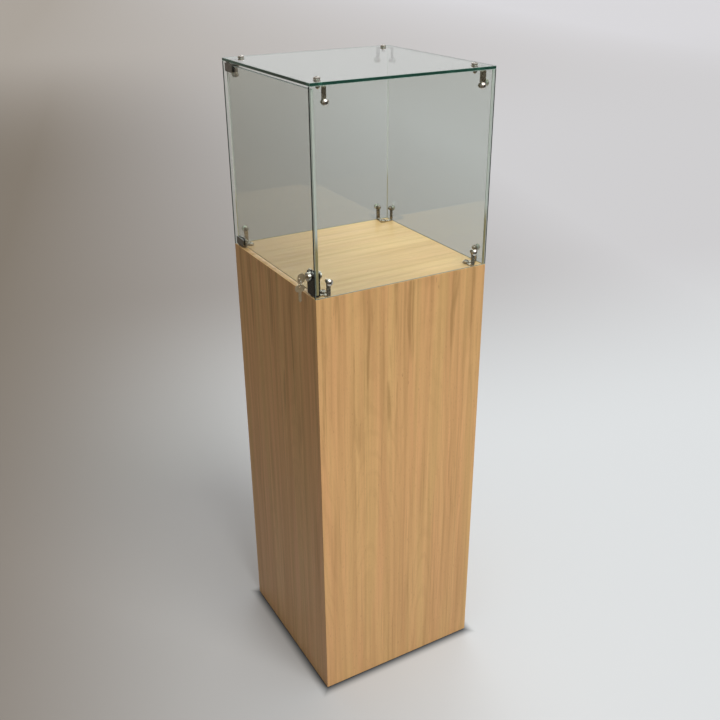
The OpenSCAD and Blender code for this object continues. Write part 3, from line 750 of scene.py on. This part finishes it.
# The cross recesses are painted near black: painted shade in the recess
shaded_recess, recess_tree, recess_shader = new_material("shaded_recess")
tinted(recess_tree, recess_shader, 900.0, (0.055, 0.045, 0.035, 1), (0.02, 0.017, 0.014, 1))
set_inputs(recess_shader, Metallic=0.5, Roughness=0.5)
nylon, nylon_tree, nylon_shader = new_material("nylon")
tinted(nylon_tree, nylon_shader, 300.0, (0.80, 0.81, 0.76, 1), (0.70, 0.71, 0.65, 1))
set_inputs(nylon_shader, Roughness=0.42, Subsurface_Weight=0.1, Subsurface_Scale=2 * MM)


def turned(profile, steps=48, closed=False):
    """A shape turned about Z from (radius, height) points. A closed one is a ring."""
    shape = bmesh.new()
    points = [shape.verts.new((radius, 0, height)) for radius, height in profile]
    pairs = list(zip(points, points[1:])) + ([(points[-1], points[0])] if closed else [])
    edges = [shape.edges.new(pair) for pair in pairs]
    bmesh.ops.spin(
        shape, geom=points + edges, cent=(0, 0, 0), axis=(0, 0, 1),
        angle=2 * math.pi, steps=steps, use_merge=True,
    )
    bmesh.ops.remove_doubles(shape, verts=shape.verts, dist=0.001 * MM)
    bmesh.ops.recalc_face_normals(shape, faces=shape.faces)
    return shape


def carved(shape, tool):
    """The shape with the tool cut out of it. The cut takes the second material. The
    blanks are objects for as long as the cut takes."""
    for face in tool.faces:
        face.material_index = 1
    held = []
    for part in (shape, tool):
        mesh = bpy.data.meshes.new("blank")
        part.to_mesh(mesh)
        part.free()
        for _ in range(2):
            mesh.materials.append(None)
        held.append(bpy.data.objects.new("blank", mesh))
        scene.collection.objects.link(held[-1])
    cut = held[0].modifiers.new("cut", "BOOLEAN")
    cut.operation = "DIFFERENCE"
    cut.solver = "EXACT"
    cut.object = held[1]
    bpy.context.view_layer.update()
    result = bmesh.new()
    result.from_object(held[0], bpy.context.evaluated_depsgraph_get())
    for blank in held:
        mesh = blank.data
        bpy.data.objects.remove(blank)
        bpy.data.meshes.remove(mesh)
    return result


def block(size, centre, taper=1.0):
    """A box, narrowed by the taper at its lower end."""
    shape = bmesh.new()
    bmesh.ops.create_cube(shape, size=1.0)
    low_end = [v for v in shape.verts if v.co.z < 0]
    bmesh.ops.scale(shape, vec=(taper, taper, 1.0), verts=low_end)
    bmesh.ops.scale(shape, vec=size, verts=shape.verts)
    bmesh.ops.translate(shape, vec=centre, verts=shape.verts)
    return shape


def domed_screw(shank_d, shank_l, tip_d):
    """A screw along Z with a crossed recess: z = 0 is under its head. Its dome runs
    over a rounded rim to the flat underside and the shank."""
    head_r = HEAD_D / 2
    cap_h = HEAD_H - HEAD_RIM
    ball_r = (head_r ** 2 + cap_h ** 2) / (2 * cap_h)
    edge_r = head_r - HEAD_EASE
    full = math.asin(edge_r / ball_r)
    leans = [full * i / DOME_STEPS for i in range(DOME_STEPS + 1)]
    profile = [
        (ball_r * math.sin(lean), HEAD_H - ball_r + ball_r * math.cos(lean)) for lean in leans
    ]
    shank_r = shank_d / 2
    profile += [
        (head_r - 0.1 * MM, HEAD_RIM + 0.15 * MM), (head_r, HEAD_RIM - HEAD_EASE),
        (head_r, HEAD_CORNER), (head_r - HEAD_CORNER, 0),
        (shank_r, 0), (shank_r, -shank_l + shank_r), (tip_d / 2, -shank_l), (0, -shank_l),
    ]
    shape = turned(profile)
    proud = 1 * MM
    cross_at = HEAD_H - RECESS_DEPTH / 2 + proud / 2
    for size in (
        (RECESS_L, RECESS_W, RECESS_DEPTH + proud),
        (RECESS_W, RECESS_L, RECESS_DEPTH + proud),
    ):
        shape = carved(shape, block(size, (0, 0, cross_at), taper=RECESS_TAPER))
    return shape


def fixing_places(node, outwards):
    """The frames of a node's four screws: +Z leaves the surface, z = 0 is under a head."""
    low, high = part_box(node)
    axis = max(range(3), key=lambda i: abs(outwards[i]))
    first, second = (i for i in range(3) if i != axis)
    facing = Vector(outwards).to_track_quat("Z", "Y").to_matrix().to_4x4()
    places = []
    for corner_at in range(4):
        spot = Vector((0, 0, 0))
        for i, at_high in ((first, corner_at // 2), (second, corner_at % 2)):
            spot[i] = high[i] - HEAD_D / 2 if at_high else low[i] + HEAD_D / 2
        spot[axis] = (high if outwards[axis] > 0 else low)[axis] - outwards[axis] * HEAD_H
        driven = Matrix.Rotation(math.radians(FIRST_TURN + NEXT_TURN * corner_at), 4, "Z")
        places.append(Matrix.Translation(spot) @ facing @ driven)
    return places


def repeated(shape, places):
    """The shape at every place, as one."""
    pattern = bpy.data.meshes.new("pattern")
    shape.to_mesh(pattern)
    shape.free()
    result = bmesh.new()
    for place in places:
        copy = pattern.copy()
        copy.transform(place)
        result.from_mesh(copy)
        bpy.data.meshes.remove(copy)
    bpy.data.meshes.remove(pattern)
    return result


tips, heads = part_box("deck_screws")
wood_screw = domed_screw(WOOD_SCREW_D, heads.z - HEAD_H - tips.z, WOOD_SCREW_TIP_D)
add_piece(
    repeated(wood_screw, fixing_places("deck_screws", (0, 0, 1))),
    "deck_screw_set", "case", [chrome, shaded_recess], "chrome", "deck_screws",
)
tips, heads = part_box("top_screws")
pane_screw_l = heads.z - HEAD_H - tips.z
for side, outwards in (
    ("top", (0, 0, 1)), ("front", (0, -1, 0)), ("back", (0, 1, 0)), ("right", (1, 0, 0)),
):
    add_piece(
        repeated(
            domed_screw(PANE_SCREW_D, pane_screw_l, PANE_SCREW_TIP_D),
            fixing_places(f"{side}_screws", outwards),
        ),
        f"{side}_screw_set", "case", [chrome, shaded_recess], "chrome", f"{side}_screws",
    )
    eased_copy(f"{side}_bushes", BUSH_EASE, f"{side}_bush_set", "case", nylon, "nylon")
    eased_copy(f"{side}_nuts", NUT_EASE, f"{side}_nut_set", "case", nickel, "chrome")

# ---------------------------------------------------------------- Door pivots and clamps
# Steel pins riveted in the bracket ears, with nylon washers, and two channels in
# black nickel that grip the door's corners between rubber, held by set screws.
CHANNEL_EASE = 0.5 * MM
WASHER_EASE = 0.15 * MM
FINE_EASE = 0.12 * MM

black_nickel = plating(
    "black_nickel", (0.20, 0.195, 0.185, 1), (0.12, 0.115, 0.105, 1), gloss=0.14, smear=0.26,
)
black_steel = plating(
    "black_steel", (0.07, 0.07, 0.07, 1), (0.04, 0.04, 0.04, 1), gloss=0.35, smear=0.50,
)
rubber, rubber_tree, rubber_shader = new_material("rubber")
tinted(rubber_tree, rubber_shader, 700.0, (0.035, 0.035, 0.035, 1), (0.020, 0.020, 0.020, 1))
set_inputs(rubber_shader, Roughness=0.7)

dress("pivot_pins", zinc)
eased_copy("pivot_washers", WASHER_EASE, "pivot_washer_pair", "case", nylon, "nylon")
for end in ("bottom", "top"):
    eased_copy(
        f"hinge_clamp_{end}", CHANNEL_EASE, f"{end}_hinge_clamp", "door",
        black_nickel, "black_nickel",
    )
dress("clamp_liners", rubber)
eased_copy(
    "clamp_set_screws", FINE_EASE, "set_screw_group", "door",
    black_steel, "black_steel",
)

# ---------------------------------------------------------------- Lock
# A lacquered channel on the door's lower front corner. A chromed barrel goes through
# it, with a nut inside, and its plug turns a cranked cam of zinc-plated steel.
BARREL_D = 14 * MM
PLUG_D = 9.1 * MM
PLUG_HEAD_D = 11.1 * MM
PLUG_HEAD_T = 1.55 * MM
BOSS_L = 7.5 * MM
BOSS_RIM = 0.9 * MM
THREAD_PITCH = 1.0 * MM
THREAD_DEPTH = 0.45 * MM
LINE_IN = 2.2 * MM
LINE_HALF_W = 0.4 * MM
LINE_DEPTH = 0.35 * MM
BACK_CORNER = 0.3 * MM
BORE_WALL = 0.6 * MM
BARREL_NUT_EASE = 0.4 * MM
CAM_EASE = 0.2 * MM

lock_black = plating(
    "lock_black", (0.050, 0.047, 0.042, 1), (0.026, 0.024, 0.021, 1), gloss=0.16, smear=0.30,
)
eased_copy("lock_body", CHANNEL_EASE, "lock_channel", "door", lock_black, "black_nickel")
dress("lock_liners", rubber)

barrel_low, barrel_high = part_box("lock_barrel")
lock_axis = (barrel_low + barrel_high) / 2
boss_r = (barrel_high.z - barrel_low.z) / 2
barrel_l = barrel_high.x - barrel_low.x
thread_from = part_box("lock_body")[1].x - barrel_low.x
barrel_front = Matrix.Translation((barrel_low.x, lock_axis.y, lock_axis.z))
into_case = barrel_front @ Matrix.Rotation(math.pi / 2, 4, "Y")

line_r = boss_r - LINE_IN
profile = [
    (PLUG_HEAD_D / 2, 0),
    (line_r - LINE_HALF_W, 0), (line_r, LINE_DEPTH), (line_r + LINE_HALF_W, 0),
    (boss_r - BOSS_RIM, 0), (boss_r - 0.3 * BOSS_RIM, 0.3 * BOSS_RIM), (boss_r, BOSS_RIM),
    (boss_r, BOSS_L - BACK_CORNER), (boss_r - BACK_CORNER, BOSS_L),
    (BARREL_D / 2, BOSS_L), (BARREL_D / 2, thread_from),
]
threads = int((barrel_l - thread_from) / THREAD_PITCH)
for i in range(threads):
    start = thread_from + i * THREAD_PITCH
    profile += [
        (BARREL_D / 2 - THREAD_DEPTH, start + 0.5 * THREAD_PITCH),
        (BARREL_D / 2, start + THREAD_PITCH),
    ]
profile += [
    (PLUG_D / 2 + BORE_WALL, barrel_l), (PLUG_D / 2, barrel_l),
    (PLUG_D / 2, PLUG_HEAD_T), (PLUG_HEAD_D / 2, PLUG_HEAD_T),
]
barrel = turned(profile, steps=64, closed=True)
bmesh.ops.transform(barrel, matrix=into_case, verts=barrel.verts)
add_piece(barrel, "threaded_barrel", "door", [chrome], "chrome", "lock_barrel")
eased_copy("barrel_nut", BARREL_NUT_EASE, "hexagon_nut", "door", chrome, "chrome")
eased_copy("lock_plug", FINE_EASE, "keyed_plug", "plug", chrome, "chrome")
eased_copy("lock_cam", CAM_EASE, "cranked_cam", "plug", zinc, "chrome")
eased_copy("cam_screw", FINE_EASE, "slotted_cam_screw", "plug", zinc, "chrome")

# ---------------------------------------------------------------- Keys
# Two flat keys, pressed and milled from nickel silver and dulled by use. One is in
# the lock; a split ring of flat wire goes through its bow and carries the other.
BLADE_L = 17 * MM
KEY_T = 1.8 * MM
GROOVE_W = 1.3 * MM
GROOVE_DEPTH = 0.45 * MM
PANEL_X = -9.6 * MM
PANEL_L = 6 * MM
PANEL_H = 12 * MM
PANEL_DEPTH = 0.25 * MM
PANEL_CORNER = 2 * MM
GROOVE_PAST_BLADE = 3 * MM
GROOVE_SET = 0.7 * MM
GROOVES_LOW = 0.8 * MM
KEY_EASE = 0.1 * MM
KEY_SHARP_ANGLE = 60
SHORTEST_EASED = 0.5 * MM
COIL_T = 0.42 * MM
COIL_PITCH = 0.44 * MM
COIL_TURNS = 1.94
COIL_STEPS = 48
COIL_FILL = 0.94
COIL_IN = 0.01 * MM
WIRE_CORNERS = (
    (-1, -0.7), (-0.5, -1), (0.5, -1), (1, -0.7), (1, 0.7), (0.5, 1), (-0.5, 1), (-1, 0.7),
)

key_metal = plating(
    "key_metal", (0.66, 0.55, 0.37, 1), (0.48, 0.39, 0.25, 1), gloss=0.30, smear=0.46,
)
ring_steel = plating(
    "ring_steel", (0.64, 0.62, 0.58, 1), (0.50, 0.48, 0.44, 1), gloss=0.15, smear=0.28,
)

key_low, key_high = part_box("door_key")
key_frame = Matrix.Translation((
    key_high.x - BLADE_L, (key_low.y + key_high.y) / 2, (key_low.z + key_high.z) / 2,
))
spare_low, spare_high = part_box("spare_key")
spare_frame = Matrix.Translation((
    (spare_low.x + spare_high.x) / 2, (spare_low.y + spare_high.y) / 2, spare_low.z + BLADE_L,
)) @ Matrix.Rotation(math.pi / 2, 4, "Y")

for node, place, name, body in (
    ("door_key", key_frame, "milled_key", "key"),
    ("spare_key", spare_frame, "milled_spare_key", "spare"),
):
    shape = cad_copy(node)
    bmesh.ops.dissolve_limit(
        shape, angle_limit=FLAT_ANGLE, verts=shape.verts, edges=shape.edges,
    )
    bmesh.ops.transform(shape, matrix=place.inverted(), verts=shape.verts)
    for side in (-1, 1):
        panel = block((PANEL_L, 2 * PANEL_DEPTH, PANEL_H), (PANEL_X, side * KEY_T / 2, 0))
        corners = [
            e for e in panel.edges if abs((e.verts[0].co - e.verts[1].co).y) > PANEL_DEPTH
        ]
        bmesh.ops.bevel(
            panel, geom=corners, offset=PANEL_CORNER, segments=5,
            affect="EDGES", profile=0.5, material=-1,
        )
        shape = carved(shape, panel)
        groove = block(
            (BLADE_L + GROOVE_PAST_BLADE, 2 * GROOVE_DEPTH, GROOVE_W),
            (BLADE_L / 2, side * KEY_T / 2, side * GROOVE_SET - GROOVES_LOW),
        )
        shape = carved(shape, groove)
    for face in shape.faces:
        face.material_index = 0
    sharp = [
        e for e in shape.edges
        if len(e.link_faces) == 2 and e.calc_face_angle() > math.radians(KEY_SHARP_ANGLE)
        and e.calc_length() > SHORTEST_EASED
    ]
    bmesh.ops.bevel(
        shape, geom=sharp, offset=KEY_EASE, segments=1, affect="EDGES", profile=0.5,
        clamp_overlap=True, material=-1,
    )
    bmesh.ops.transform(shape, matrix=place, verts=shape.verts)
    add_piece(shape, name, body, [key_metal], "key_metal", node)

ring_low, ring_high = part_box("key_ring")
ring_centre = (ring_low + ring_high) / 2
wire_w = ring_high.x - ring_low.x
coil_r = (ring_high.z - ring_low.z - wire_w) / 2
coil_w = COIL_FILL * wire_w
coil_from = ring_low.x + COIL_T / 2 + COIL_IN
ring = bmesh.new()
section = [
    ring.verts.new((
        coil_from + across * COIL_T / 2,
        ring_centre.y,
        ring_centre.z + coil_r + out * coil_w / 2,
    ))
    for across, out in WIRE_CORNERS
]
loop = [ring.edges.new(pair) for pair in zip(section, section[1:] + section[:1])]
bmesh.ops.spin(
    ring, geom=section + loop, cent=ring_centre, axis=(1, 0, 0),
    dvec=(COIL_PITCH / COIL_STEPS, 0, 0),
    angle=2 * math.pi * COIL_TURNS, steps=int(COIL_TURNS * COIL_STEPS),
)
bmesh.ops.holes_fill(ring, edges=ring.edges, sides=0)
bmesh.ops.recalc_face_normals(ring, faces=ring.faces)
add_piece(ring, "split_ring", "ring", [ring_steel], "chrome", "key_ring")
